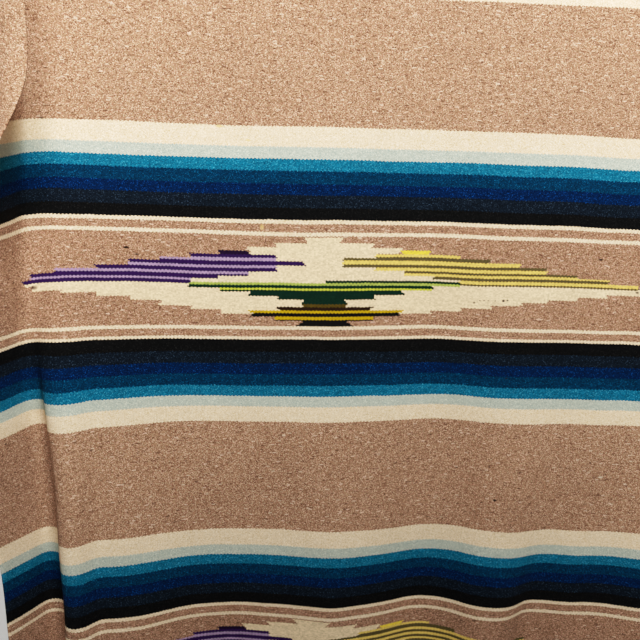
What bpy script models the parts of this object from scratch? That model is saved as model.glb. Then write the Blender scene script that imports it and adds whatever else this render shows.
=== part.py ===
"""A wool serape, hung by its top edge so that it falls in soft upright folds.

Metres, +Z up. The origin is the middle of the held top edge, the face looks along -Y,
and the cloth falls to about -LENGTH. A place on the cloth is given by s, measured across
it from its middle, and t, measured down it from the held edge.
"""

import math
from collections import namedtuple

import bmesh
import bpy
import numpy as np

# The cut
WIDTH = 1.36
LENGTH = 2.13
WALL = 0.0024  # a weft-faced wool cloth
GAP = 0.0003  # between pieces that meet

# The grid that the cloth is made of: columns across a stretch that ends at `end`
Stretch = namedtuple("Stretch", "end columns")
STRETCHES = (
    Stretch(end=-0.42, columns=22),  # the left margin, which turns sharply
    Stretch(end=WIDTH / 2, columns=44),
)
ROWS = 26

# Soft folds: how far each ridge stands forward (or each hollow back) at the levels, and
# where its middle runs from the held edge to the hem
LEVELS = (0.0, 1.0, 1.4, LENGTH)
Fold = namedtuple("Fold", "name top_s hem_s half_width at_top at_middle at_low at_hem")
FOLDS = (
    Fold("left ridge", -0.40, -0.38, 0.170, 0.010, 0.015, 0.030, 0.060),
    Fold("left roll", -0.45, -0.45, 0.070, 0.000, 0.004, 0.038, 0.050),
    Fold("left hollow", -0.17, -0.15, 0.130, -0.003, -0.005, -0.006, -0.020),
    Fold("middle ridge", 0.01, 0.03, 0.100, 0.004, -0.001, 0.006, 0.030),
    Fold("right hollow", 0.16, 0.21, 0.110, -0.006, -0.012, -0.019, -0.035),
    Fold("right ridge", 0.33, 0.345, 0.090, 0.004, -0.001, 0.009, 0.037),
    Fold("outer hollow", 0.43, 0.44, 0.080, -0.002, 0.001, -0.005, -0.020),
    Fold("right margin", 0.68, 0.68, 0.170, 0.035, 0.020, 0.022, 0.045),
)

# The left margin: behind the left ridge the cloth steps back, turns, and comes forward
EDGE_S = -0.470  # where the left ridge ends
STEP_ANGLE = math.radians(-80)
STEP_BEND = 0.015  # run over which the cloth turns into the step
FULL_STEP = 0.030  # a step shorter than this turns less
Margin = namedtuple("Margin", "t step flank bend")
MARGIN = (  # the step's run, the angle at which the flank comes forward, and the valley's run
    Margin(t=0.00, step=0.000, flank=math.radians(76), bend=0.030),
    Margin(t=0.80, step=0.000, flank=math.radians(84), bend=0.030),
    Margin(t=0.98, step=0.000, flank=math.radians(74), bend=0.036),
    Margin(t=1.06, step=0.000, flank=math.radians(66), bend=0.050),
    Margin(t=1.19, step=0.000, flank=math.radians(60), bend=0.062),
    Margin(t=1.32, step=0.036, flank=math.radians(60), bend=0.065),
    Margin(t=1.52, step=0.068, flank=math.radians(55), bend=0.065),
    Margin(t=LENGTH, step=0.080, flank=math.radians(52), bend=0.065),
)

# The left selvage curls over towards the middle beside the upper lozenge, and sags a little
CURL_RUN = 0.110
CURL_ANGLE = math.radians(105)
CURL_SAG = 0.040
Curl = namedtuple("Curl", "t share")
CURL = (Curl(0.00, 0.0), Curl(0.40, 0.9), Curl(0.755, 0.9), Curl(0.955, 0.0), Curl(LENGTH, 0.0))

# The fringe: the warp ends of each edge, gathered into locks that hang from a narrow strip
LOCKS = 61
LOCK_DROP = 0.085
LOCK_SWAY = 0.004  # how far a tip swings along the cloth, at most
LOCK_UNEVEN = 0.06  # how much longer or shorter a lock is, at most
LOCK_TIP = 0.55  # width at the tip, as a share of the root
STEPS_ALONG_LOCK = 2
SWAY_TURN, LENGTH_TURN = 2.1, 1.3  # radians from one lock to the next
STRIP = 0.006
LEDGE = 0.0035  # how far behind the held edge the upper locks start

SECTION_STEP = 0.004  # step in which a section is added up
STEEPEST = 0.95  # sine of the steepest fold
FACES_DOWN = -0.9
EASING = np.linspace(-0.10, 0.10, 9)  # the run along the cloth that rounds a table's corners

WOOL_BROWN = (0.42, 0.27, 0.18, 1.0)
WARP_CREAM = (0.72, 0.64, 0.50, 1.0)


def smooth(low, high, value):
    """0 below low, 1 above high, and an even curve between them."""
    share = np.clip((value - low) / (high - low), 0.0, 1.0)
    return share * share * (3 - 2 * share)


def eased(levels, values, t):
    """The value at t of a line through the values, with its corners rounded off."""
    return float(np.mean(np.interp(t + EASING, levels, values)))


def along(table, column, t):
    """The value at t of one column of a table whose rows have a t."""
    return eased([row.t for row in table], [getattr(row, column) for row in table], t)


def fold_places(t):
    """Each fold's middle, half width and depth at t."""
    for fold in FOLDS:
        middle = fold.top_s + (fold.hem_s - fold.top_s) * t / LENGTH
        depths = (fold.at_top, fold.at_middle, fold.at_low, fold.at_hem)
        yield middle, fold.half_width, eased(LEVELS, depths, t)


def forward(s, t):
    """How far the folds carry the cloth forward."""
    total = 0.0
    for middle, half, depth in fold_places(t):
        share = np.clip((s - middle) / half, -1, 1)
        total = total + depth * (1 + np.cos(math.pi * share)) / 2
    return total


def angle(s, t):
    """The cloth's angle in plan: 0 runs along +X, and more turns its right side back."""
    slope = np.zeros_like(s)
    for middle, half, depth in fold_places(t):
        share = np.clip((s - middle) / half, -1, 1)
        slope += depth * math.pi / (2 * half) * np.sin(math.pi * share)
    turn = np.arcsin(np.clip(slope, -STEEPEST, STEEPEST))
    step = along(MARGIN, "step", t)
    valley = EDGE_S - step
    into = smooth(0, STEP_BEND, EDGE_S - s) * min(step / FULL_STEP, 1)
    past = smooth(0, along(MARGIN, "bend", t), valley - s)
    turn = turn * (1 - into) + STEP_ANGLE * into
    turn = turn * (1 - past) + along(MARGIN, "flank", t) * past
    return turn + CURL_ANGLE * curl_share(s, t)


def curl_share(s, t):
    """How far the curl has turned: 0 at its start and 1 at the selvage."""
    return smooth(0, CURL_RUN, CURL_RUN - WIDTH / 2 - s) * along(CURL, "share", t)


def section(places, t, back=0.0, down=0.0):
    """The cloth's points at t, one for each s in places, moved to its back and down."""
    half = WIDTH / 2
    fine = np.linspace(-half, half, 2 * math.ceil(half / SECTION_STEP) + 1)
    run = fine[1] - fine[0]
    turns = angle((fine[1:] + fine[:-1]) / 2, t)
    x = np.concatenate([[0], np.cumsum(np.cos(turns) * run)])
    y = np.concatenate([[0], np.cumsum(np.sin(turns) * run)])
    middle = len(fine) // 2
    places = np.asarray(places)
    x = np.interp(places, fine, x - x[middle])
    y = np.interp(places, fine, y - y[middle]) - (forward(0.0, t) - forward(0.0, 0.0))
    turn = angle(places, t)
    z = -t - down - CURL_SAG * curl_share(places, t)
    return np.stack([x - np.sin(turn) * back, y + np.cos(turn) * back, z], axis=1)


def column_places():
    """s of each column of the cloth's grid."""
    places, start = [-WIDTH / 2], -WIDTH / 2
    for stretch in STRETCHES:
        places += list(np.linspace(start, stretch.end, stretch.columns + 1)[1:])
        start = stretch.end
    return places


def wool(name, colour):
    material = bpy.data.materials.new(name)
    material.use_nodes = True
    shader = material.node_tree.nodes["Principled BSDF"]
    shader.inputs["Base Color"].default_value = colour
    shader.inputs["Roughness"].default_value = 0.92
    shader.inputs["Metallic"].default_value = 0.0
    return material


def sheet_through(name, rows, material):
    """A wall through rows of points, and each vertex's row and column by its index."""
    across, down = len(rows[0]), len(rows)
    bpy.ops.mesh.primitive_grid_add(x_subdivisions=across - 1, y_subdivisions=down - 1)
    sheet = bpy.context.object
    sheet.name = sheet.data.name = name
    sheet.data.materials.append(material)
    vertices = sorted(sheet.data.vertices, key=lambda v: (-round(v.co.y, 4), v.co.x))
    cells = {}
    for number, vertex in enumerate(vertices):
        row, column = divmod(number, across)
        cells[vertex.index] = (row, column)
        vertex.co = rows[row][column]
    solidify = sheet.modifiers.new("Wall", "SOLIDIFY")
    solidify.thickness = WALL
    solidify.offset = 0
    return sheet, cells


def woven_panel(material):
    """The cloth itself, one rectangle of weaving in its folds."""
    places = column_places()
    rows = [section(places, LENGTH * row / ROWS) for row in range(ROWS + 1)]
    sheet, _ = sheet_through("woven_panel", rows, material)
    sheet.data.shade_smooth()
    return sheet


def fringe(name, t, profile, material):
    """A strip along an edge, through (back, down) pairs, and the locks that hang from it."""
    places = np.linspace(-WIDTH / 2, WIDTH / 2, 2 * LOCKS)
    rows = [section(places, t, back, down) for back, down in profile]
    sheet, cells = sheet_through(name, rows, material)
    bpy.ops.object.modifier_apply(modifier="Wall")
    draw_out_locks(sheet.data, cells, len(profile) - 1)
    return sheet


def draw_out_locks(mesh, cells, last_row):
    """Draws every other downward face of the strip's last row down into a tapered lock."""
    bm = bmesh.new()
    bm.from_mesh(mesh)
    bm.normal_update()
    roots = []
    for face in bm.faces:
        places = [cells[vertex.index % len(cells)] for vertex in face.verts]
        column = min(place[1] for place in places)
        lowest = max(place[0] for place in places) == last_row
        if lowest and face.normal.z < FACES_DOWN and column % 2 == 0:
            roots.append((column, face))
    for column, face in sorted(roots, key=lambda root: root[0]):
        draw_out_lock(bm, face, column // 2)
    bm.to_mesh(mesh)
    bm.free()


def draw_out_lock(bm, face, number):
    """Extrudes one face down in steps, narrower and a little along the cloth each time."""
    longest = max(face.edges, key=lambda edge: edge.calc_length())
    aside = (longest.verts[1].co - longest.verts[0].co).normalized()
    narrowing = LOCK_TIP ** (1 / STEPS_ALONG_LOCK)
    sway = LOCK_SWAY * math.sin(SWAY_TURN * number) / STEPS_ALONG_LOCK
    longer = 1 + LOCK_UNEVEN * math.sin(LENGTH_TURN * number)
    drop = LOCK_DROP * longer / STEPS_ALONG_LOCK
    for _ in range(STEPS_ALONG_LOCK):
        face = bmesh.ops.extrude_discrete_faces(bm, faces=[face])["faces"][0]
        centre = face.calc_center_median()
        for vertex in face.verts:
            vertex.co = centre + (vertex.co - centre) * narrowing
            vertex.co += aside * sway
            vertex.co.z -= drop


def main():
    for thing in list(bpy.data.objects):
        bpy.data.objects.remove(thing, do_unlink=True)
    brown, cream = wool("Wool, brown", WOOL_BROWN), wool("Warp, cream", WARP_CREAM)
    over = -GAP - WALL / 2
    ledge = [(0, over), (LEDGE, over), (LEDGE + STRIP / 2, over)]
    band = [(0, GAP), (0, GAP + STRIP)]
    pieces = [
        woven_panel(brown),
        fringe("fringe_top", 0.0, ledge, cream),
        fringe("fringe_bottom", LENGTH, band, cream),
    ]
    collection = bpy.data.collections.new("mexican_serape")
    bpy.context.scene.collection.children.link(collection)
    for piece in pieces:
        for other in piece.users_collection:
            other.objects.unlink(piece)
        collection.objects.link(piece)


main()
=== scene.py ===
import math
from collections import namedtuple

import bpy
import numpy as np
from mathutils import Matrix, Vector


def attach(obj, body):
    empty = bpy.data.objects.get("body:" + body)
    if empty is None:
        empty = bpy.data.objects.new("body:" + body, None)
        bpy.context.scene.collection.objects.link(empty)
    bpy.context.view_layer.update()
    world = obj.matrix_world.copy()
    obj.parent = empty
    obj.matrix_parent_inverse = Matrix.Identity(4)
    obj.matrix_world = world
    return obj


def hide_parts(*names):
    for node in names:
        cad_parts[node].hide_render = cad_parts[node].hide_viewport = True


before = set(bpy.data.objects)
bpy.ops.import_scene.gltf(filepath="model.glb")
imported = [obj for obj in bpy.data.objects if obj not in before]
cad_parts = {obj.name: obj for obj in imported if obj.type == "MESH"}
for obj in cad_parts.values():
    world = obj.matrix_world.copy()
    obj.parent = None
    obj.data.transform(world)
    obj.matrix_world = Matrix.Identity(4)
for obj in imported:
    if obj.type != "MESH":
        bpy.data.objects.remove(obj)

# A woven wool serape that hangs by its top edge in soft upright folds.
# A place on the cloth is given by s, measured across it from its middle, and t, measured
# down it from the held edge. All sizes are in metres, and the front faces -Y.

bpy.ops.object.select_all(action="DESELECT")
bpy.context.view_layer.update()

# The cut and the folds. They are as in the part's source, but here the ridge ends 4 mm
# further in and the curl ends higher up
WIDTH = 1.36
LENGTH = 2.13
WALL = 0.0024

# Each fold's middle at the top and the hem, its half width, and its depth at four levels
LEVELS = (0.0, 1.0, 1.4, LENGTH)
Fold = namedtuple("Fold", "name top_s hem_s half_width at_top at_middle at_low at_hem")
FOLDS = (
    Fold("left ridge", -0.40, -0.38, 0.170, 0.010, 0.015, 0.030, 0.060),
    Fold("left roll", -0.45, -0.45, 0.070, 0.000, 0.004, 0.038, 0.050),
    Fold("left hollow", -0.17, -0.15, 0.130, -0.003, -0.005, -0.006, -0.020),
    Fold("middle ridge", 0.01, 0.03, 0.100, 0.004, -0.001, 0.006, 0.030),
    Fold("right hollow", 0.16, 0.21, 0.110, -0.006, -0.012, -0.019, -0.035),
    Fold("right ridge", 0.33, 0.345, 0.090, 0.004, -0.001, 0.009, 0.037),
    Fold("outer hollow", 0.43, 0.44, 0.080, -0.002, 0.001, -0.005, -0.020),
    Fold("right margin", 0.68, 0.68, 0.170, 0.035, 0.020, 0.022, 0.045),
)
EDGE_S = -0.466  # where the left ridge ends
STEP_ANGLE = math.radians(-80)
STEP_BEND = 0.015
FULL_STEP = 0.030
# The left margin by level: how far the cloth steps back behind the ridge, the angle of
# the flank that follows, and how wide the bend into it is
Margin = namedtuple("Margin", "t step flank bend")
MARGIN = (
    Margin(t=0.00, step=0.000, flank=math.radians(76), bend=0.030),
    Margin(t=0.80, step=0.000, flank=math.radians(84), bend=0.030),
    Margin(t=0.98, step=0.000, flank=math.radians(74), bend=0.036),
    Margin(t=1.06, step=0.000, flank=math.radians(66), bend=0.050),
    Margin(t=1.19, step=0.000, flank=math.radians(60), bend=0.062),
    Margin(t=1.32, step=0.036, flank=math.radians(60), bend=0.065),
    Margin(t=1.52, step=0.068, flank=math.radians(55), bend=0.065),
    Margin(t=LENGTH, step=0.080, flank=math.radians(52), bend=0.065),
)
CURL_RUN = 0.110  # the width of the curl at the left selvage
CURL_ANGLE = math.radians(105)
CURL_SAG = 0.040
# By level, the share of the curl's full angle that the selvage turns through
Curl = namedtuple("Curl", "t share")
CURL = (Curl(0.00, 0.0), Curl(0.40, 0.9), Curl(0.775, 0.9), Curl(0.860, 0.0), Curl(LENGTH, 0.0))
SECTION_STEP = 0.004
STEEPEST = 0.95  # the most a fold's slope may be, as the sine of its angle
EASING = np.linspace(-0.10, 0.10, 9)  # levels whose mean rounds off a table's corners

# Small creases from folding and wear: where each starts and ends, how wide it is and how
# far it stands forward
Crease = namedtuple("Crease", "start_s start_t end_s end_t half_width height")
CREASES = (
    Crease(0.085, 0.76, 0.092, 0.99, 0.010, 0.0012),
    Crease(0.225, 0.72, 0.232, 1.10, 0.012, 0.0011),
    Crease(0.165, 1.33, 0.205, 1.50, 0.016, -0.0022),
    Crease(-0.205, 1.32, -0.190, 1.62, 0.020, -0.0016),
    Crease(-0.330, 0.55, -0.322, 0.95, 0.014, 0.0012),
    Crease(0.520, 0.95, 0.535, 1.45, 0.016, -0.0015),
    Crease(-0.060, 0.12, -0.045, 0.52, 0.016, 0.0016),
    Crease(0.300, 0.08, 0.286, 0.60, 0.018, -0.0018),
    Crease(0.020, 1.60, 0.050, 2.05, 0.020, 0.0022),
    Crease(0.420, 1.55, 0.400, 2.08, 0.018, -0.0020),
    Crease(-0.320, 1.62, -0.345, 2.10, 0.022, 0.0012),
    Crease(-0.560, 1.30, -0.575, 1.90, 0.016, 0.0018),
)
# Slow waves in the cloth: turns per metre across and down, where they start, and height
Wave = namedtuple("Wave", "across down start height")
WAVES = (
    Wave(3.1, 1.3, 0.4, 0.0011),
    Wave(5.3, -2.1, 1.9, 0.0007),
    Wave(1.7, 4.3, 3.3, 0.0006),
    Wave(8.9, 3.7, 5.1, 0.0003),
)

# The weft lines bow: how far the pattern lies above its level place, in millimetres, at
# places across the cloth, for a few levels down it
BOW_S = (
    -0.60, -0.54, -0.51, -0.48, -0.45, -0.40, -0.34, -0.28, -0.21, -0.14,
    -0.07, 0.00, 0.08, 0.16, 0.24, 0.32, 0.40, 0.48, 0.56,
)
BOW = (
    (0.500, (0,) * len(BOW_S)),
    (0.814, (-3, -3, -2, -1, 1.5, 1, 1, 0, -1, -1, 0, 1.5, 1, 2, 1.5, 1.5, 0.5, -2, -2)),
    (0.864, (-5, -3.5, -3, -2, 2, 1, -0.5, -1, -2, -2, 0, 0, 0.5, 0.5, 1, 0, 0, -3.5, -3.5)),
    (0.962, (-9, -6.5, -3, -0.5, 3, 3.5, 2.5, 1, -1, -1.5, 0, 1.5, 1.5, 0.5, 1, 1, 1, -2.5, -4)),
    (0.989, (-6, -4, -2.5, 1.5, 5.5, 6, 5, 2, 0.5, -1, -1, 1, 2, 1.5, 1.5, 1, 0.5, -2, -2.5)),
    (1.065, (-11, -8, -6.2, -3, 2, 3.6, 3.6, 0.4, -3.7, -2.4, -0.5, -0.4, 1.8, -0.1, -0.5, 0.4,
             0.1, -2, -3.5)),
    (1.141, (-12, -10, -8.5, -5, -1, 0.5, 1.5, -0.5, -2.5, -2.5, -0.5, -0.5, 2, 1.5, 1.5, 0.5,
             -0.5, -1.5, -1.5)),
    (1.168, (-12, -9.5, -7, -1.5, 2, 2.5, 4, 2.5, 0, 0, 2.5, 2.5, 4.5, 2.5, 3.5, 3, 2, 1.5, 0.5)),
    (1.265, (-16, -12, -9, -4, -2, -1, 1, 1.5, -1, -2, 0, 0, 3, 0.5, 2, 0.5, -2, -2.5, -2.5)),
    (1.316, (-11, -7, -5, -3, 0, 1, 2, 4.5, 3.5, 1.5, 3.5, 3, 6.5, 5.5, 5.5, 4, 1, 1, 0.5)),
    (1.516, (-8, -8, -5, 0, 0, 0, 0, 0, -2, -2, -2, 0, 0, -3, 1, 0, -4, -8, -5)),
    (1.900, (0,) * len(BOW_S)),
)

# The cloth's grid: columns across a stretch that ends at `end`
Stretch = namedtuple("Stretch", "end columns")
STRETCHES = (Stretch(-0.57, 20), Stretch(-0.44, 30), Stretch(WIDTH / 2, 116))
ROWS = 256


def smooth(low, high, value):
    """0 below low, 1 above high, and an even curve between them."""
    share = np.clip((value - low) / (high - low), 0.0, 1.0)
    return share * share * (3 - 2 * share)


def eased(levels, values, t):
    """The value at t of a line through the values, with its corners rounded off."""
    return float(np.mean(np.interp(t + EASING, levels, values)))


def along(table, column, t):
    """The value at t of one column of a table whose rows have a t."""
    return eased([row.t for row in table], [getattr(row, column) for row in table], t)


def fold_places(t):
    """Each fold's middle, half width and depth at t."""
    for fold in FOLDS:
        middle = fold.top_s + (fold.hem_s - fold.top_s) * t / LENGTH
        depths = (fold.at_top, fold.at_middle, fold.at_low, fold.at_hem)
        yield middle, fold.half_width, eased(LEVELS, depths, t)


def forward(s, t):
    """How far the folds carry the cloth forward."""
    total = 0.0
    for middle, half, depth in fold_places(t):
        share = np.clip((s - middle) / half, -1, 1)
        total = total + depth * (1 + np.cos(math.pi * share)) / 2
    return total


def angle(s, t):
    """The cloth's angle in plan: 0 runs along +X, and more turns its right side back."""
    slope = np.zeros_like(s)
    for middle, half, depth in fold_places(t):
        share = np.clip((s - middle) / half, -1, 1)
        slope += depth * math.pi / (2 * half) * np.sin(math.pi * share)
    turn = np.arcsin(np.clip(slope, -STEEPEST, STEEPEST))
    step = along(MARGIN, "step", t)
    valley = EDGE_S - step
    into = smooth(0, STEP_BEND, EDGE_S - s) * min(step / FULL_STEP, 1)
    past = smooth(0, along(MARGIN, "bend", t), valley - s)
    turn = turn * (1 - into) + STEP_ANGLE * into
    turn = turn * (1 - past) + along(MARGIN, "flank", t) * past
    return turn + CURL_ANGLE * curl_share(s, t)


def curl_share(s, t):
    """How far the curl has turned: 0 at its start and 1 at the selvage."""
    return smooth(0, CURL_RUN, CURL_RUN - WIDTH / 2 - s) * along(CURL, "share", t)


def section(places, t, back=0.0, down=0.0):
    """The cloth's points at t, one for each s in places, moved to its back and down."""
    half = WIDTH / 2
    fine = np.linspace(-half, half, 2 * math.ceil(half / SECTION_STEP) + 1)
    run = fine[1] - fine[0]
    turns = angle((fine[1:] + fine[:-1]) / 2, t)
    x = np.concatenate([[0], np.cumsum(np.cos(turns) * run)])
    y = np.concatenate([[0], np.cumsum(np.sin(turns) * run)])
    middle = len(fine) // 2
    places = np.asarray(places)
    x = np.interp(places, fine, x - x[middle])
    y = np.interp(places, fine, y - y[middle]) - (forward(0.0, t) - forward(0.0, 0.0))
    turn = angle(places, t)
    z = -t - down - CURL_SAG * curl_share(places, t)
    return np.stack([x - np.sin(turn) * back, y + np.cos(turn) * back, z], axis=1)


def relief(s, t):
    """How far creases and waves carry the cloth forward of its folds."""
    total = np.zeros_like(s)
    for crease in CREASES:
        share = (t - crease.start_t) / (crease.end_t - crease.start_t)
        middle = crease.start_s + (crease.end_s - crease.start_s) * share
        fade = math.sin(math.pi * share) ** 0.7 if 0 < share < 1 else 0.0
        total += crease.height * fade * np.exp(-(((s - middle) / crease.half_width) ** 2))
    for wave in WAVES:
        total += wave.height * np.sin(
            2 * math.pi * (wave.across * s + wave.down * t) + wave.start
        )
    return total


def bow(s, t):
    """How far above its level place the pattern lies."""
    levels = [level for level, _ in BOW]
    rows = [np.mean([np.interp(s + ease, BOW_S, row) for ease in EASING / 6], axis=0)
            for _, row in BOW]
    spot = np.interp(t, levels, range(len(levels)))
    above = min(int(spot), len(levels) - 2)
    return (rows[above] + (rows[above + 1] - rows[above]) * (spot - above)) / 1000


# The pattern
PANEL_T = 1.065  # t of the middle panel's middle
PANEL_PITCH = 0.7022
WARP_PITCH = 0.00297
BEAD = 0.0021  # one weft bead's height; beads of neighbouring warps lie half a bead apart
TUFT = (0.0015, 0.0011)  # a tuft of fibres of one tone, across and down
FIBRES = (430.0, 600.0)  # fibres to a metre, across and down
BY_FIBRE, BY_TUFT = 0.55, 0.45  # how much of a fibre's tone is its own, and its tuft's
RAREST, COMMONER = 0.75, -0.5  # the limit a tone passes where its share is 0, and its slope
FIBRE_EDGE = 9.0  # how sharply a fibre of another tone stands out
SLUB = (0.0060, 0.0018)  # across and down
SLUB_SHARE = 0.30  # a wool with more dark fibres than this has slubs
PALE_SLUBS = 0.988  # a slub whose chance is above this is pale
DARK_SLUBS = (0.96, 0.012)  # one whose chance is within the second of the first is dark
HUE_SCALE = 260.0
HUE_SWING = (0.42, -0.24, 0.14)  # how far brown wool turns redder or greener in places
LOZENGE_UNEVEN = 0.30
# How the weft's rows wander up and down: the scale of the noise, and how far
WANDERS = ((9.0, 0.0024), (70.0, 0.0016))
# Tone by run of yarn and by patch: how much of each, beside that of one bead
RUN_TONE, PATCH_TONE = 1.6, 0.5
RUN_SCALE = (60.0, 3.7)  # runs to a metre across, and the change from row to row
PATCH_SCALE = 28.0
FUZZ, FUZZ_SCALE = 0.6, 900.0
TWIST = 210.0  # turns of the warp yarn to a metre


def shade(red, green, blue, alpha=1.0):
    """A colour given in display values, as a shader takes it."""
    linear = [
        (c / 255 / 12.92) if c <= 10.3 else ((c / 255 + 0.055) / 1.055) ** 2.4
        for c in (red, green, blue)
    ]
    return (*linear, alpha)


# Stripes out from a panel's middle: where each starts above and below it, its wool, the
# lighter and darker fibres in it and the share of each, and how uneven its tone is
Stripe = namedtuple("Stripe", "above below wool light light_share dark dark_share uneven")
BROWN = (shade(156, 118, 91), shade(208, 170, 143), 0.31, shade(102, 68, 48), 0.31, 0.21)
PANEL_BROWN = (shade(149, 111, 85), shade(200, 160, 134), 0.31, shade(96, 62, 44), 0.31, 0.21)
CREAM = (shade(227, 201, 166), shade(240, 220, 192), 0.30, shade(206, 176, 132), 0.28, 0.12)
CHARCOAL = (shade(9, 17, 26), shade(44, 60, 76), 0.16, shade(6, 10, 15), 0.26, 0.50)
ROYAL = (shade(0, 22, 57), shade(10, 64, 126), 0.17, shade(0, 13, 38), 0.26, 0.50)
TEAL = (shade(0, 40, 67), shade(8, 84, 118), 0.18, shade(0, 25, 47), 0.26, 0.45)
TURQUOISE = (shade(10, 93, 120), shade(58, 146, 171), 0.20, shade(4, 66, 92), 0.26, 0.36)
PALE = (shade(173, 178, 162), shade(204, 205, 187), 0.26, shade(143, 159, 151), 0.24, 0.14)
STRIPES = (
    Stripe(0.0000, 0.0000, *PANEL_BROWN),
    Stripe(0.0753, 0.0769, *CREAM),
    Stripe(0.0819, 0.0836, *PANEL_BROWN),
    Stripe(0.0956, 0.0964, *CREAM),
    Stripe(0.1018, 0.1024, shade(7, 7, 7), shade(28, 27, 26), 0.16, shade(4, 4, 4), 0.26, 0.50),
    Stripe(0.1219, 0.1243, *CHARCOAL),
    Stripe(0.1424, 0.1444, *ROYAL),
    Stripe(0.1609, 0.1634, *TEAL),
    Stripe(0.1816, 0.1830, *TURQUOISE),
    Stripe(0.2003, 0.2014, *PALE),
    Stripe(0.2190, 0.2222, *CREAM),
    Stripe(0.2503, 0.2511, *BROWN),
)

# The lozenge. Its steps are numbered out from the middle; these are their places across
RIGHT = (0.025, 0.079, 0.129, 0.180, 0.225, 0.274, 0.328, 0.374, 0.429, 0.484, 0.537)
LEFT = (-0.045, -0.090, -0.136, -0.186, -0.231, -0.281, -0.332, -0.383, -0.446, -0.487, -0.503)
FAR = 0.60  # further out than any step
NOTHING = (3 * FAR, 0.0, FAR, 1.0)  # ends that nothing lies between
LEVEL = 4.0  # added to a lean where it is kept with numbers that are never below 0

PURPLE = shade(40, 17, 62)
NIGHT_PURPLE = shade(26, 10, 34)
LAVENDER = shade(154, 128, 156)
SAGE = shade(150, 163, 74)
LIME = shade(180, 184, 58)
DARK_GREEN = shade(10, 34, 22)
OLIVE_BROWN = shade(74, 58, 16)
DARK_BROWN = shade(34, 20, 10)
GOLD = shade(178, 141, 14)
BLACK = shade(14, 12, 10)
YELLOW = shade(222, 187, 95)
BRIGHT_YELLOW = shade(233, 200, 66)
OLIVE = shade(84, 73, 42)
GROUND = shade(225, 198, 158)

# Rows of a layer from the top down: the height above the panel's middle where the row
# starts, its ends across, its wool, and how far each end moves across for each metre down.
# A row whose wool is None has nothing in it
Row = namedtuple("Row", "top left right wool lean_left lean_right")


def steps(side, lean, *rows):
    """Rows whose ends are given as step numbers of one side of the lozenge."""
    made = []
    for top, inner, outer, wool in rows:
        ends = sorted((side[inner], side[outer]))
        made.append(Row(top, *ends, wool, lean, lean))
    return tuple(made)


def middle_rows(*rows):
    """Rows whose ends lean apart by the same amount."""
    return tuple(Row(top, left, right, wool, -lean, lean) for top, left, right, wool, lean in rows)


CREAM_ROWS = middle_rows(
    (0.0730, -0.044, 0.023, GROUND, -0.9),
    (0.0635, -0.092, 0.074, GROUND, -0.8),
    (0.0565, -0.139, 0.123, GROUND, -0.9),
    (0.0470, LEFT[2], RIGHT[1], GROUND, 0.0),
    (0.0350, LEFT[3], RIGHT[3], GROUND, 0.0),
    (0.0200, LEFT[4], RIGHT[4], GROUND, 0.0),
    (0.0110, LEFT[5], RIGHT[5], GROUND, 0.0),
    (0.0040, LEFT[6], RIGHT[7], GROUND, 0.0),
    (-0.0012, -0.496, 0.548, GROUND, 0.0),
    (-0.0095, -0.482, 0.548, GROUND, 0.0),
    (-0.0125, -0.482, 0.480, GROUND, 0.6),
    (-0.0180, -0.434, 0.480, GROUND, 1.3),
    (-0.0195, -0.434, 0.429, GROUND, 1.2),
    (-0.0225, -0.378, 0.429, GROUND, 1.3),
    (-0.0250, -0.378, 0.377, GROUND, 1.2),
    (-0.0285, -0.324, 0.377, GROUND, 1.4),
    (-0.0303, -0.324, 0.330, GROUND, 1.3),
    (-0.0352, -0.275, 0.330, GROUND, 1.3),
    (-0.0369, -0.275, 0.277, GROUND, 1.3),
    (-0.0430, -0.226, 0.228, GROUND, 0.8),
    (-0.0490, -0.177, 0.228, GROUND, 0.5),
    (-0.0508, -0.177, 0.178, GROUND, 0.5),
    (-0.0558, FAR, FAR, None, 0.0),
)
LEFT_WING = steps(
    LEFT, 1.0,
    (0.0503, 2, 3, NIGHT_PURPLE),
    (0.0436, 1, 4, PURPLE),
    (0.0389, 1, 4, LAVENDER),
    (0.0365, 1, 5, LAVENDER),
    (0.0333, 0, 5, PURPLE),
    (0.0317, 0, 6, PURPLE),
    (0.0256, 1, 6, LAVENDER),
    (0.0218, 1, 7, PURPLE),
    (0.0154, 2, 8, LAVENDER),
    (0.0113, 2, 8, PURPLE),
    (0.0094, 2, 9, PURPLE),
    (0.0078, 3, 9, PURPLE),
    (0.0045, 4, 9, LAVENDER),
    (0.0011, 4, 10, PURPLE),
    (-0.0051, 0, 0, None),
)
RIGHT_CAP = Row(0.0525, 0.119, 0.173, BRIGHT_YELLOW, 0.9, -0.8)
RIGHT_WING = (RIGHT_CAP, *steps(
    RIGHT, -0.9,
    (0.0465, 1, 4, YELLOW),
    (0.0423, 1, 5, OLIVE),
    (0.0392, 0, 5, OLIVE),
    (0.0352, 0, 6, YELLOW),
    (0.0297, 0, 7, OLIVE),
    (0.0243, 1, 7, YELLOW),
    (0.0190, 2, 8, OLIVE),
    (0.0144, 2, 8, YELLOW),
    (0.0125, 2, 9, YELLOW),
    (0.0099, 3, 9, OLIVE),
    (0.0046, 4, 10, YELLOW),
    (-0.0001, 4, 10, OLIVE),
    (-0.0029, 0, 0, None),
))
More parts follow.
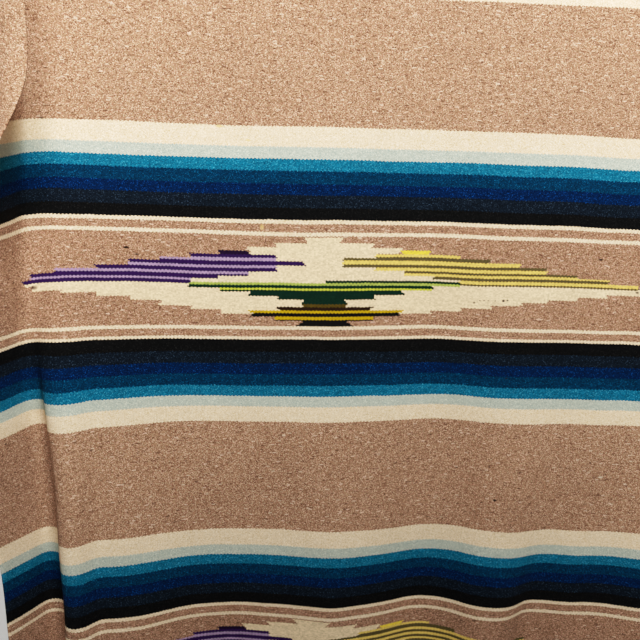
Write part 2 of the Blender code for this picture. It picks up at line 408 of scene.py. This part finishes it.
CENTRE = middle_rows(
    (0.0015, -0.006, 0.225, DARK_GREEN, 0.0),
    (-0.0024, -0.229, 0.225, SAGE, 0.6),
    (-0.0063, -0.231, 0.178, DARK_GREEN, 0.6),
    (-0.0115, -0.180, 0.178, LIME, 0.3),
    (-0.0151, -0.180, 0.124, DARK_GREEN, 0.9),
    (-0.0177, -0.128, 0.126, DARK_GREEN, 1.3),
    (-0.0233, -0.131, 0.075, DARK_GREEN, 1.2),
    (-0.0253, -0.081, 0.075, DARK_GREEN, 1.2),
    (-0.0310, -0.039, 0.026, DARK_GREEN, 1.2),
    (-0.0380, -0.046, 0.034, OLIVE_BROWN, -1.2),
    (-0.0428, -0.089, 0.077, DARK_BROWN, -1.2),
    (-0.0495, -0.134, 0.131, GOLD, -1.2),
    (-0.0538, -0.124, 0.119, BLACK, 1.1),
    (-0.0603, -0.090, 0.077, GOLD, 0.0),
    (-0.0650, -0.086, 0.077, BLACK, 0.0),
    (-0.0671, -0.040, 0.031, BLACK, 1.4),
    (-0.0765, FAR, FAR, None, 0.0),
)

# Knots, stains and stray fibres in the yarn: where each lies, its half sizes, wool and strength
Fleck = namedtuple("Fleck", "s t half_width half_height wool strength")
KNOT = shade(30, 18, 14)
STAIN = shade(214, 176, 104)
FLECKS = (
    Fleck(-0.332, 1.0156, 0.0062, 0.0022, KNOT, 1.3),
    Fleck(-0.315, 1.0262, 0.0050, 0.0020, KNOT, 0.9),
    Fleck(-0.481, 1.0769, 0.0080, 0.0040, KNOT, 0.8),
    Fleck(0.252, 1.0978, 0.0028, 0.0022, KNOT, 0.8),
    Fleck(0.261, 1.0936, 0.0017, 0.0015, KNOT, 0.9),
    Fleck(0.268, 1.0934, 0.0017, 0.0015, KNOT, 0.9),
    Fleck(0.275, 1.0931, 0.0017, 0.0015, KNOT, 0.8),
    Fleck(0.287, 1.0930, 0.0015, 0.0014, KNOT, 0.7),
    Fleck(0.301, 1.0928, 0.0032, 0.0025, KNOT, 1.2),
    Fleck(0.308, 1.0921, 0.0024, 0.0020, KNOT, 1.0),
    Fleck(0.319, 1.4572, 0.0046, 0.0024, KNOT, 1.1),
    Fleck(0.464, 1.0176, 0.0046, 0.0024, KNOT, 1.1),
    Fleck(0.189, 0.9786, 0.0020, 0.0016, KNOT, 0.8),
    Fleck(0.241, 0.9718, 0.0018, 0.0014, KNOT, 0.6),
    Fleck(0.261, 0.9710, 0.0022, 0.0014, KNOT, 0.7),
    Fleck(0.281, 0.9702, 0.0018, 0.0014, KNOT, 0.6),
    Fleck(0.301, 0.9696, 0.0022, 0.0015, KNOT, 0.7),
    Fleck(-0.397, 1.3536, 0.0036, 0.0020, KNOT, 0.8),
    Fleck(-0.328, 1.3505, 0.0022, 0.0020, KNOT, 0.7),
    Fleck(-0.614, 1.3877, 0.0026, 0.0022, KNOT, 0.7),
    Fleck(-0.615, 1.3286, 0.0030, 0.0022, KNOT, 0.8),
    Fleck(-0.457, 0.8129, 0.0046, 0.0018, KNOT, 0.8),
    Fleck(0.246, 1.4051, 0.0040, 0.0016, KNOT, 0.8),
    Fleck(0.303, 1.3973, 0.0024, 0.0018, KNOT, 0.8),
    Fleck(0.491, 1.3863, 0.0024, 0.0026, KNOT, 0.7),
    Fleck(0.318, 1.2305, 0.0028, 0.0018, KNOT, 0.8),
    Fleck(0.534, 1.0714, 0.0040, 0.0026, KNOT, 0.9),
    Fleck(-0.184, 0.8162, 0.0075, 0.0026, STAIN, 0.8),
    Fleck(-0.138, 0.8364, 0.0060, 0.0024, STAIN, 0.7),
    Fleck(-0.113, 0.9757, 0.0040, 0.0060, STAIN, 0.6),
    Fleck(0.514, 1.4131, 0.0060, 0.0020, shade(222, 200, 172), 1.0),
)


class Recipe:
    """A material, and short words for adding nodes to it."""

    def __init__(self, name, roughness):
        self.material = bpy.data.materials.new(name)
        self.material.use_nodes = True
        self.tree = self.material.node_tree
        self.shader = self.tree.nodes["Principled BSDF"]
        self.shader.inputs["Roughness"].default_value = roughness

    def put(self, socket, given):
        """Links an output to a socket, or sets a value on it."""
        if isinstance(given, bpy.types.NodeSocket):
            self.tree.links.new(given, socket)
        else:
            socket.default_value = given

    def add(self, kind, settings=(), **inputs):
        """A node with its settings and inputs."""
        node = self.tree.nodes.new(kind)
        for name, setting in dict(settings).items():
            setattr(node, name, setting)
        for name, given in inputs.items():
            self.put(node.inputs[name.replace("_", " ")], given)
        return node

    def calc(self, operation, *given):
        """The result of a sum on values or outputs."""
        node = self.add("ShaderNodeMath", {"operation": operation})
        for number, value in enumerate(given):
            self.put(node.inputs[number], value)
        return node.outputs[0]

    def join(self, x=0.0, y=0.0, z=0.0):
        return self.add("ShaderNodeCombineXYZ", X=x, Y=y, Z=z).outputs[0]

    def split(self, vector):
        return self.add("ShaderNodeSeparateXYZ", Vector=vector).outputs

    def noise(self, vector, scale, detail=2.0, rough=0.5):
        node = self.add(
            "ShaderNodeTexNoise", Vector=vector, Scale=scale, Detail=detail, Roughness=rough
        )
        return node.outputs[0]

    def chance(self, *numbers):
        """A fixed number from 0 to 1 for each set of whole numbers."""
        node = self.add("ShaderNodeTexWhiteNoise", {"noise_dimensions": "3D"})
        self.tree.links.new(self.join(*numbers), node.inputs["Vector"])
        return node.outputs["Value"]

    def mix(self, share, under, over, blend="MIX"):
        """One colour laid over another, as much as the share says."""
        node = self.add("ShaderNodeMix", {"data_type": "RGBA", "blend_type": blend})
        self.put(node.inputs[0], share)
        self.put(node.inputs[6], under)
        self.put(node.inputs[7], over)
        return node.outputs[2]

    def part_above(self, value, limit, sharpness):
        """0 below the limit, and up to 1 just above it."""
        over = self.calc("MULTIPLY", self.calc("SUBTRACT", value, limit), sharpness)
        return self.calc("MINIMUM", self.calc("MAXIMUM", over, 0.0), 1.0)

    def look_up(self, number, colours):
        """The colour whose place in the list is the whole number given."""
        node = self.add("ShaderNodeValToRGB")
        ramp = node.color_ramp
        ramp.interpolation = "CONSTANT"
        ramp.elements[1].position = 1.0
        ramp.elements[0].color = colours[0]
        for place, colour in enumerate(colours[1:-1], 1):
            ramp.elements.new(place / len(colours)).color = colour
        last = ramp.elements[len(ramp.elements) - 1]
        last.position = (len(colours) - 1) / len(colours)
        last.color = colours[-1]
        middle = self.calc("MULTIPLY_ADD", number, 1 / len(colours), 0.5 / len(colours))
        self.put(node.inputs[0], middle)
        return node.outputs

    def count(self, value, limits):
        """How many of the limits the value is past, going up or going down."""
        rising = limits[-1] > limits[0]
        total = None
        for limit in limits:
            past = self.calc("GREATER_THAN" if rising else "LESS_THAN", value, limit)
            total = past if total is None else self.calc("ADD", total, past)
        return total


def lay_rows(wool, colour, is_drawn, s, height, rows):
    """Draws one layer of the lozenge over the colour, and marks where it is drawn."""
    number = wool.count(height, [row.top for row in rows])
    ends, leans = [NOTHING], [(LEVEL, LEVEL, 0.0, 1.0)]
    for row in rows:
        place = (row.left + FAR, row.right + FAR, row.top + FAR, 1.0)
        ends.append(NOTHING if row.wool is None else place)
        leans.append((row.lean_left + LEVEL, row.lean_right + LEVEL, 0.0, 1.0))
    colours = [GROUND] + [row.wool or GROUND for row in rows]
    left, right, top = wool.split(wool.look_up(number, ends)[0])
    lean_left, lean_right, _ = wool.split(wool.look_up(number, leans)[0])
    below = wool.calc("SUBTRACT", wool.calc("SUBTRACT", top, FAR), height)
    left = wool.calc("MULTIPLY_ADD", below, wool.calc("SUBTRACT", lean_left, LEVEL), left)
    right = wool.calc("MULTIPLY_ADD", below, wool.calc("SUBTRACT", lean_right, LEVEL), right)
    moved = wool.calc("ADD", s, FAR)
    past_left = wool.calc("GREATER_THAN", moved, left)
    past_right = wool.calc("LESS_THAN", moved, right)
    inside = wool.calc("MULTIPLY", past_left, past_right)
    colour = wool.mix(inside, colour, wool.look_up(number, colours)[0])
    return colour, wool.calc("MAXIMUM", is_drawn, inside)


def add_slubs(wool, colour, s, t, is_brown):
    """Adds sparse dark and pale slubs to the brown wool."""
    row = wool.calc("FLOOR", wool.calc("DIVIDE", t, SLUB[1]))
    shifted = wool.calc("MULTIPLY_ADD", wool.chance(row, 1.0, 3.0), 5 * SLUB[0], s)
    number = wool.calc("FLOOR", wool.calc("DIVIDE", shifted, SLUB[0]))
    chance = wool.calc("MULTIPLY", wool.chance(number, row, 9.0), is_brown)
    pale = wool.calc("GREATER_THAN", chance, PALE_SLUBS)
    dark = wool.calc("COMPARE", chance, *DARK_SLUBS)
    colour = wool.mix(wool.calc("MULTIPLY", pale, 0.6), colour, shade(226, 194, 168))
    return wool.mix(wool.calc("MULTIPLY", dark, 0.55), colour, shade(74, 44, 30))


def draw_flecks(wool, colour, s, t):
    """Draws the odd knots and stray fibres of the yarn."""
    for fleck in FLECKS:
        across = wool.calc("DIVIDE", wool.calc("SUBTRACT", s, fleck.s), fleck.half_width)
        down = wool.calc("DIVIDE", wool.calc("SUBTRACT", t, fleck.t), fleck.half_height)
        reach = wool.calc("MULTIPLY_ADD", across, across, wool.calc("MULTIPLY", down, down))
        share = wool.calc("SUBTRACT", 1.0, wool.calc("MINIMUM", reach, 1.0))
        colour = wool.mix(wool.calc("MULTIPLY", share, fleck.strength), colour, fleck.wool)
    return colour


def woven_wool():
    """The weft-faced cloth: beads of weft, stripes, lozenges and heathered wool."""
    wool = Recipe("woven_wool", roughness=0.93)
    uv = wool.add("ShaderNodeUVMap", {"uv_map": "weave"}).outputs[0]
    s, t, _ = wool.split(uv)
    for scale, reach in WANDERS:
        wander = wool.noise(uv, scale)
        t = wool.calc("ADD", t, wool.calc("MULTIPLY_ADD", wander, reach, -reach / 2))

    # Beads: their number across and down, their middle, and the place within one
    across = wool.calc("DIVIDE", s, WARP_PITCH)
    column = wool.calc("FLOOR", across)
    lowered = wool.calc("MULTIPLY", wool.calc("PINGPONG", column, 1.0), 0.5)
    down = wool.calc("ADD", wool.calc("DIVIDE", t, BEAD), lowered)
    row = wool.calc("FLOOR", down)
    bead_s = wool.calc("MULTIPLY", wool.calc("ADD", column, 0.5), WARP_PITCH)
    bead_t = wool.calc("ADD", row, wool.calc("SUBTRACT", 0.5, lowered))
    bead_t = wool.calc("MULTIPLY", bead_t, BEAD)
    in_x = wool.calc("SUBTRACT", wool.calc("FRACT", across), 0.5)
    in_y = wool.calc("SUBTRACT", wool.calc("FRACT", down), 0.5)

    # Which panel is nearest, and how far its middle is
    panel = wool.calc("DIVIDE", wool.calc("SUBTRACT", bead_t, PANEL_T), PANEL_PITCH)
    panel = wool.calc("MINIMUM", wool.calc("MAXIMUM", wool.calc("ROUND", panel), -1.0), 1.0)
    middle = wool.calc("MULTIPLY_ADD", panel, PANEL_PITCH, PANEL_T)
    height = wool.calc("SUBTRACT", middle, bead_t)
    away = wool.calc("ABSOLUTE", height)

    # The stripes
    number = wool.count(away, [stripe.above for stripe in STRIPES[1:]])
    below = wool.count(away, [stripe.below for stripe in STRIPES[1:]])
    is_below = wool.calc("LESS_THAN", height, 0.0)
    number = wool.calc("MULTIPLY_ADD", is_below, wool.calc("SUBTRACT", below, number), number)
    plain = [(*stripe.wool[:3], stripe.uneven) for stripe in STRIPES]
    lighter = [(*stripe.light[:3], stripe.light_share) for stripe in STRIPES]
    darker = [(*stripe.dark[:3], stripe.dark_share) for stripe in STRIPES]
    colour, uneven = wool.look_up(number, plain)
    light, light_share = wool.look_up(number, lighter)
    dark, dark_share = wool.look_up(number, darker)

    # Fibres of other tones carded into the yarn
    tuft_row = wool.calc("FLOOR", wool.calc("DIVIDE", t, TUFT[1]))
    shifted = wool.calc("MULTIPLY_ADD", wool.chance(tuft_row, 0.0, 5.0), TUFT[0], s)
    tuft = wool.calc("FLOOR", wool.calc("DIVIDE", shifted, TUFT[0]))
    stretched = wool.join(
        wool.calc("MULTIPLY", s, FIBRES[0]), wool.calc("MULTIPLY", t, FIBRES[1])
    )
    fibre = wool.calc("MULTIPLY", wool.noise(stretched, 1.0, 2.5, 0.7), BY_FIBRE)
    fibre = wool.calc("MULTIPLY_ADD", wool.chance(tuft, tuft_row, 7.0), BY_TUFT, fibre)
    limit = wool.calc("MULTIPLY_ADD", light_share, COMMONER, RAREST)
    has_light = wool.part_above(fibre, limit, FIBRE_EDGE)
    limit = wool.calc("MULTIPLY_ADD", dark_share, COMMONER, RAREST)
    has_dark = wool.part_above(wool.calc("SUBTRACT", 1.0, fibre), limit, FIBRE_EDGE)
    colour = wool.mix(has_light, colour, light)
    colour = wool.mix(has_dark, colour, dark)
    is_brown = wool.calc("GREATER_THAN", dark_share, SLUB_SHARE)
    colour = add_slubs(wool, colour, s, t, is_brown)
    hue = wool.calc("SUBTRACT", wool.noise(uv, HUE_SCALE, 4.0, 0.7), 0.5)
    hue = wool.calc("MULTIPLY", hue, is_brown)
    tint = wool.join(*(wool.calc("MULTIPLY_ADD", hue, swing, 1.0) for swing in HUE_SWING))
    colour = wool.mix(1.0, colour, tint, "MULTIPLY")

    # The lozenges
    drawn = 0.0
    for rows in (CREAM_ROWS, LEFT_WING, RIGHT_WING, CENTRE):
        colour, drawn = lay_rows(wool, colour, drawn, bead_s, height, rows)
    colour = draw_flecks(wool, colour, s, t)
    change = wool.calc("SUBTRACT", LOZENGE_UNEVEN, uneven)
    uneven = wool.calc("MULTIPLY_ADD", drawn, change, uneven)

    # Tone: by bead, by run of yarn and by patch
    bead_tone = wool.calc("SUBTRACT", wool.chance(column, row, 2.0), 0.5)
    run = wool.join(
        wool.calc("MULTIPLY", s, RUN_SCALE[0]), wool.calc("MULTIPLY", row, RUN_SCALE[1])
    )
    run_tone = wool.calc("SUBTRACT", wool.noise(run, 1.0), 0.5)
    patch_tone = wool.calc("SUBTRACT", wool.noise(uv, PATCH_SCALE, 3.0), 0.5)
    tone = wool.calc("MULTIPLY_ADD", run_tone, RUN_TONE, bead_tone)
    tone = wool.calc("ADD", wool.calc("SUBTRACT", fibre, 0.5), tone)
    tone = wool.calc("MULTIPLY_ADD", patch_tone, PATCH_TONE, tone)
    tone = wool.calc("MULTIPLY_ADD", tone, uneven, 1.0)
    grey = wool.join(tone, tone, tone)
    colour = wool.mix(1.0, colour, grey, "MULTIPLY")
    wool.put(wool.shader.inputs["Base Color"], colour)

    # Relief: round beads, and fuzz
    round_x = wool.calc("SUBTRACT", 0.25, wool.calc("MULTIPLY", in_x, in_x))
    round_y = wool.calc("SUBTRACT", 0.25, wool.calc("MULTIPLY", in_y, in_y))
    bead = wool.calc("MULTIPLY", wool.calc("MULTIPLY", round_x, round_y), 16.0)
    fuzz = wool.noise(uv, FUZZ_SCALE)
    relief_height = wool.calc("MULTIPLY_ADD", fuzz, FUZZ, bead)
    bump = wool.add("ShaderNodeBump", Strength=0.5, Distance=0.0005, Height=relief_height)
    wool.put(wool.shader.inputs["Normal"], bump.outputs[0])
    wool.shader.inputs["Specular IOR Level"].default_value = 0.06
    return wool.material


def warp_yarn():
    """Twisted undyed yarn, with painted shade in the grooves between its plies."""
    yarn = Recipe("warp_yarn", roughness=0.9)
    uv = yarn.add("ShaderNodeUVMap", {"uv_map": "twist"}).outputs[0]
    around, down, _ = yarn.split(uv)
    turn = yarn.calc("MULTIPLY_ADD", down, TWIST, around)
    ply = yarn.calc("PINGPONG", turn, 0.5)
    tone = yarn.noise(yarn.add("ShaderNodeTexCoord").outputs["Object"], 160.0, 3.0)
    light = yarn.mix(tone, shade(226, 208, 172), shade(240, 228, 200))
    # Painted shade: the yarn is darker where the ply's height is low, in the grooves between plies
    colour = yarn.mix(yarn.calc("MULTIPLY", ply, 1.4), shade(188, 164, 124), light)
    yarn.put(yarn.shader.inputs["Base Color"], colour)
    bump = yarn.add("ShaderNodeBump", Strength=0.6, Distance=0.0006, Height=ply)
    yarn.put(yarn.shader.inputs["Normal"], bump.outputs[0])
    yarn.shader.inputs["Specular IOR Level"].default_value = 0.1
    return yarn.material


def column_places():
    """s of each column of the cloth's grid."""
    places, start = [-WIDTH / 2], -WIDTH / 2
    for stretch in STRETCHES:
        places += list(np.linspace(start, stretch.end, stretch.columns + 1)[1:])
        start = stretch.end
    return np.array(places)


BAKE_MARGIN = 0.01
BAKE_FACE = (0.485, 0.93)  # how much of the bake map one side of the cloth takes
BAKE_BACK = 0.495  # how far across from the front the back lies
BAKE_RIM = 0.955  # where the strips for the rims start
BAKE_STRIP = 0.010  # from one strip to the next
STRIP_LENGTH, STRIP_WIDTH = 0.98, 0.006


def hang_cloth():
    """A grid laid out in its folds, with a wall, and a map of the weave on it."""
    places = column_places()
    across, down = len(places), ROWS + 1
    bpy.ops.mesh.primitive_grid_add(x_subdivisions=across - 1, y_subdivisions=down - 1)
    cloth = bpy.context.object
    cloth.name = cloth.data.name = "cloth"
    levels = np.linspace(0, LENGTH, down)
    points = [section(places, t, back=-relief(places, t)) for t in levels]
    mesh = cloth.data
    order = sorted(mesh.vertices, key=lambda v: (-round(v.co.y, 5), v.co.x))
    cell = np.zeros((len(order), 2), dtype=int)
    for number, vertex in enumerate(order):
        cell[vertex.index] = divmod(number, across)
    for vertex in mesh.vertices:
        row, column = cell[vertex.index]
        vertex.co = points[row][column]
    while mesh.uv_layers:
        mesh.uv_layers.remove(mesh.uv_layers[0])
    weave = mesh.uv_layers.new(name="weave")
    corners = np.zeros(len(mesh.loops), dtype=int)
    mesh.loops.foreach_get("vertex_index", corners)
    woven_t = np.array([t + bow(places, t) for t in levels])
    rows, columns = cell[corners, 0], cell[corners, 1]
    s_and_t = np.stack([places[columns], woven_t[rows, columns]], axis=1)
    weave.data.foreach_set("uv", s_and_t.ravel())
    faces = len(mesh.polygons)
    wall = cloth.modifiers.new("Wall", "SOLIDIFY")
    wall.thickness = WALL
    wall.offset = 0
    bpy.ops.object.modifier_apply(modifier="Wall")
    lay_out_for_baking(mesh, faces)
    mesh.shade_smooth()
    return cloth


def lay_out_for_baking(mesh, faces):
    """A second map: the front, the back beside it, and the rims in strips above them."""
    weave = mesh.uv_layers["weave"]
    flat = np.zeros(2 * len(mesh.loops))
    weave.data.foreach_get("uv", flat)
    flat = flat.reshape(-1, 2)
    u = (flat[:, 0] + WIDTH / 2) / WIDTH
    v = flat[:, 1] / LENGTH
    laid = BAKE_MARGIN + np.stack([u * BAKE_FACE[0], v * BAKE_FACE[1]], axis=1)
    for polygon in mesh.polygons:
        loops = np.array(polygon.loop_indices)
        if faces <= polygon.index < 2 * faces:
            laid[loops, 0] += BAKE_BACK
        elif polygon.index >= 2 * faces:
            lay_out_rim(mesh, polygon, loops, u, v, laid)
    bake = mesh.uv_layers.new(name="OFBake")
    bake.data.foreach_set("uv", laid.ravel())


def lay_out_rim(mesh, polygon, loops, u, v, laid):
    """One face of a rim, as a cell of the strip of its edge."""
    us, vs = u[loops], v[loops]
    if np.ptp(vs) < 1e-6:
        strip, along_edge = (0 if vs[0] < 0.5 else 1), us
    else:
        strip, along_edge = (2 if us[0] < 0.5 else 3), vs
    first = min(mesh.loops[i].vertex_index for i in loops)
    half = len(mesh.vertices) // 2
    for loop, place in zip(loops, along_edge):
        second_side = mesh.loops[loop].vertex_index >= half
        laid[loop] = (
            BAKE_MARGIN + STRIP_LENGTH * place,
            BAKE_RIM + strip * BAKE_STRIP + (STRIP_WIDTH if second_side else 0.0),
        )


# The fringes
LOCKS = 61
LOCK_DROP = 0.085
YARNS = 5  # yarns in a lock, side by side at the cloth
YARN_RADIUS = 0.0011
YARN_SIDES = 5
KNOT_DROP = 0.017
KNOT_RADIUS = 0.0033
KNOT_HEIGHT = 0.8  # of its width
SPREAD = 0.0165  # how wide the yarns of a lock stand at the cloth
TIP_SPREAD = 0.009
KNOT_SPREAD = 0.0011  # how far the outer yarns lie from a knot's middle
YARN_DEPTH, DEPTH_TURN = 0.0009, 2.3  # how far yarns lie before and behind each other
WAVER, WAVER_TURN, WAVER_RATE = 0.0008, 1.9, 90  # how a yarn wavers below its knot
TIP_WIDTH = 0.55  # of a yarn's own
RINGS = (0.0, 0.006, 0.013, 0.017, 0.021, 0.034, 0.052, 0.070, 0.085)  # down a yarn
# How locks differ along an edge: how much, how far from lock to lock, and the start
SWAY = ((0.004, 2.1, 0), (0.002, 5.3, 1))
LONGER = ((0.05, 1.3, 0), (0.02, 4.7, 0))
SWING = 1.5  # how late down a lock its sway sets in


def make_lock():
    """One lock in its own axes: X along the cloth, Y to its back, Z down from its edge."""
    parts = []
    for number in range(YARNS):
        side = 2 * number / (YARNS - 1) - 1
        bpy.ops.mesh.primitive_cylinder_add(
            vertices=YARN_SIDES, radius=YARN_RADIUS, depth=1.0, end_fill_type="NOTHING"
        )
        yarn = bpy.context.object
        bpy.ops.object.mode_set(mode="EDIT")
        bpy.ops.mesh.select_all(action="DESELECT")
        bpy.ops.object.mode_set(mode="OBJECT")
        for edge in yarn.data.edges:
            ends = [yarn.data.vertices[i].co.z for i in edge.vertices]
            edge.select = abs(ends[0] - ends[1]) > 0.5
        bpy.ops.object.mode_set(mode="EDIT")
        bpy.ops.mesh.subdivide(number_cuts=len(RINGS) - 2)
        bpy.ops.object.mode_set(mode="OBJECT")
        shape_yarn(yarn.data, side, number)
        parts.append(yarn)
    bpy.ops.mesh.primitive_uv_sphere_add(
        segments=8, ring_count=6, radius=KNOT_RADIUS, location=(0, 0, KNOT_DROP)
    )
    knot = bpy.context.object
    bpy.ops.object.transform_apply(location=True)
    for vertex in knot.data.vertices:
        vertex.co.z = KNOT_DROP + (vertex.co.z - KNOT_DROP) * KNOT_HEIGHT
    map_twist(knot.data)
    parts.append(knot)
    return join_pieces(parts, "lock")


def shape_yarn(mesh, side, number):
    """Lays a tube along a yarn's run: in to the knot, and out a little below it."""
    last = len(RINGS) - 1
    for vertex in mesh.vertices:
        ring = round((0.5 - vertex.co.z) * last)
        z = RINGS[ring]
        if z < KNOT_DROP:
            x = side * (KNOT_SPREAD + SPREAD / 2 * (1 - smooth(0, KNOT_DROP, z)))
        else:
            x = side * (KNOT_SPREAD + TIP_SPREAD / 2 * smooth(KNOT_DROP, LOCK_DROP, z))
        y = YARN_DEPTH * math.cos(DEPTH_TURN * number) * smooth(0, KNOT_DROP, z)
        waver = WAVER * math.sin(WAVER_TURN * number + WAVER_RATE * z)
        x += waver * smooth(KNOT_DROP, LOCK_DROP, z)
        thick = 1.0 if ring < last else TIP_WIDTH
        vertex.co = (vertex.co.x * thick + x, vertex.co.y * thick + y, z)
    map_twist(mesh)


def map_twist(mesh):
    """A map round and down each yarn, for its twist."""
    while mesh.uv_layers:
        mesh.uv_layers.remove(mesh.uv_layers[0])
    twist = mesh.uv_layers.new(name="twist")
    for polygon in mesh.polygons:
        turn = math.atan2(polygon.normal.y, polygon.normal.x) / (2 * math.pi)
        for loop in polygon.loop_indices:
            point = mesh.vertices[mesh.loops[loop].vertex_index].co
            twist.data[loop].uv = (turn, point.z)


def join_pieces(parts, name):
    """The parts as one piece, nothing left selected."""
    bpy.ops.object.select_all(action="DESELECT")
    for part in parts:
        part.select_set(True)
    bpy.context.view_layer.objects.active = parts[0]
    bpy.ops.object.join()
    joined = bpy.context.object
    joined.name = joined.data.name = name
    bpy.ops.object.select_all(action="DESELECT")
    return joined


def varied(rows, number):
    """How much one lock differs, by the rows of a table."""
    return sum(much * math.sin(turn * number + start) for much, turn, start in rows)


def hang_fringe(name, t, start_back, start_down):
    """Copies of one lock along an edge, each with its own sway and length."""
    lock = make_lock()
    pitch = WIDTH / LOCKS
    locks = []
    for number in range(LOCKS):
        copy = lock.copy()
        copy.data = lock.data.copy()
        bpy.context.collection.objects.link(copy)
        middle = -WIDTH / 2 + (number + 0.5) * pitch
        longer = 1 + varied(LONGER, number)
        local = np.array([tuple(v.co) for v in copy.data.vertices])
        swing = (local[:, 2] / LOCK_DROP) ** SWING * varied(SWAY, number)
        places = np.clip(middle + local[:, 0] + swing, -WIDTH / 2, WIDTH / 2)
        edge = section(places, t, back=start_back + local[:, 1])
        edge[:, 2] -= start_down + local[:, 2] * longer
        for vertex, point in zip(copy.data.vertices, edge):
            vertex.co = point
        locks.append(copy)
    bpy.data.objects.remove(lock)
    fringe = join_pieces(locks, name)
    fringe.data.shade_smooth()
    return fringe


# The studio
CAMERA_PLACE = Vector((-0.135, -1.444, -0.771))
CAMERA_YAW, CAMERA_PITCH, CAMERA_ROLL = (math.radians(a) for a in (4.83, 13.92, 2.00))
FLOOR_Z = -2.36
FLOOR_SIZE = 9
SKY = (0.95, 0.97, 1.0, 1.0)
SKY_STRENGTH = 0.08
Lamp = namedtuple("Lamp", "name place target size power spread")
LAMPS = (
    Lamp("left", (-0.14, -1.80, 0.67), (-1.10, 0.0, -0.53), (0.93, 0.6), 36, 74),
    Lamp("right", (0.42, -1.77, 0.67), (1.02, 0.0, -0.53), (0.90, 0.6), 30, 74),
    Lamp("behind", (0.8, 2.2, 0.2), (0.0, 0.0, -1.0), (1.6, 1.6), 64, 180),
)
# Light in the scene, and how light it shows
TONES = (
    (0.0, 0.0), (0.05, 0.045), (0.15, 0.145), (0.24, 0.24), (0.55, 0.50), (0.83, 0.66),
    (1.12, 0.77), (1.5, 0.87), (2.2, 1.0),
)


def set_camera():
    """At the photograph's viewing angle, a little above and looking down."""
    yaw, pitch, roll = CAMERA_YAW, CAMERA_PITCH, CAMERA_ROLL
    ahead = Vector(
        (math.sin(yaw) * math.cos(pitch), math.cos(yaw) * math.cos(pitch), -math.sin(pitch))
    )
    level = Vector((math.cos(yaw), -math.sin(yaw), 0))
    upright = level.cross(ahead)
    right = math.cos(roll) * level + math.sin(roll) * upright
    up = -math.sin(roll) * level + math.cos(roll) * upright
    data = bpy.data.cameras.new("camera")
    data.lens, data.sensor_width = 50.0, 36.0
    camera = bpy.data.objects.new("camera", data)
    matrix = Matrix((right, up, -ahead)).transposed().to_4x4()
    matrix.translation = CAMERA_PLACE
    camera.matrix_world = matrix
    bpy.context.scene.collection.objects.link(camera)
    bpy.context.scene.camera = camera


def set_light(lamp):
    """A flat soft light, turned to its target."""
    data = bpy.data.lights.new(lamp.name, "AREA")
    data.shape = "RECTANGLE"
    data.size, data.size_y = lamp.size
    data.energy = lamp.power
    data.spread = math.radians(lamp.spread)
    light = bpy.data.objects.new(lamp.name, data)
    light.location = lamp.place
    ahead = Vector(lamp.target) - Vector(lamp.place)
    light.rotation_euler = ahead.to_track_quat("-Z", "Y").to_euler()
    bpy.context.scene.collection.objects.link(light)


def set_tones(view):
    """Softens the highlights, as the photograph does."""
    view.view_transform = "Standard"
    view.use_curve_mapping = True
    mapping = view.curve_mapping
    mapping.clip_max_x = TONES[-1][0]
    curve = mapping.curves[3]
    curve.points[1].location = TONES[-1]
    for point in TONES[1:-1]:
        curve.points.new(*point)
    mapping.update()


def set_stage():
    """A plain pale floor, soft lights and an even sky."""
    bpy.ops.mesh.primitive_plane_add(size=FLOOR_SIZE, location=(0, 0, FLOOR_Z))
    floor = bpy.context.object
    floor.name = "floor"
    paper = Recipe("floor_paper", roughness=0.8)
    paper.shader.inputs["Base Color"].default_value = shade(232, 230, 226)
    floor.data.materials.append(paper.material)
    for lamp in LAMPS:
        set_light(lamp)
    world = bpy.data.worlds.new("studio")
    world.use_nodes = True
    background = world.node_tree.nodes["Background"]
    background.inputs["Color"].default_value = SKY
    background.inputs["Strength"].default_value = SKY_STRENGTH
    bpy.context.scene.world = world
    set_tones(bpy.context.scene.view_settings)


cloth = hang_cloth()
cloth.data.materials.append(woven_wool())
yarn = warp_yarn()
fringe_top = hang_fringe("fringe_top_locks", t=0.0, start_back=0.0045, start_down=0.0005)
fringe_bottom = hang_fringe("fringe_bottom_locks", t=LENGTH, start_back=0.0, start_down=-0.002)
for fringe in (fringe_top, fringe_bottom):
    fringe.data.materials.clear()
    fringe.data.materials.append(yarn)
for piece, node, slot in (
    (cloth, "woven_panel", "woven_wool"),
    (fringe_top, "fringe_top", "warp_yarn"),
    (fringe_bottom, "fringe_bottom", "warp_yarn"),
):
    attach(piece, "root")
    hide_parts(node)
set_stage()
set_camera()
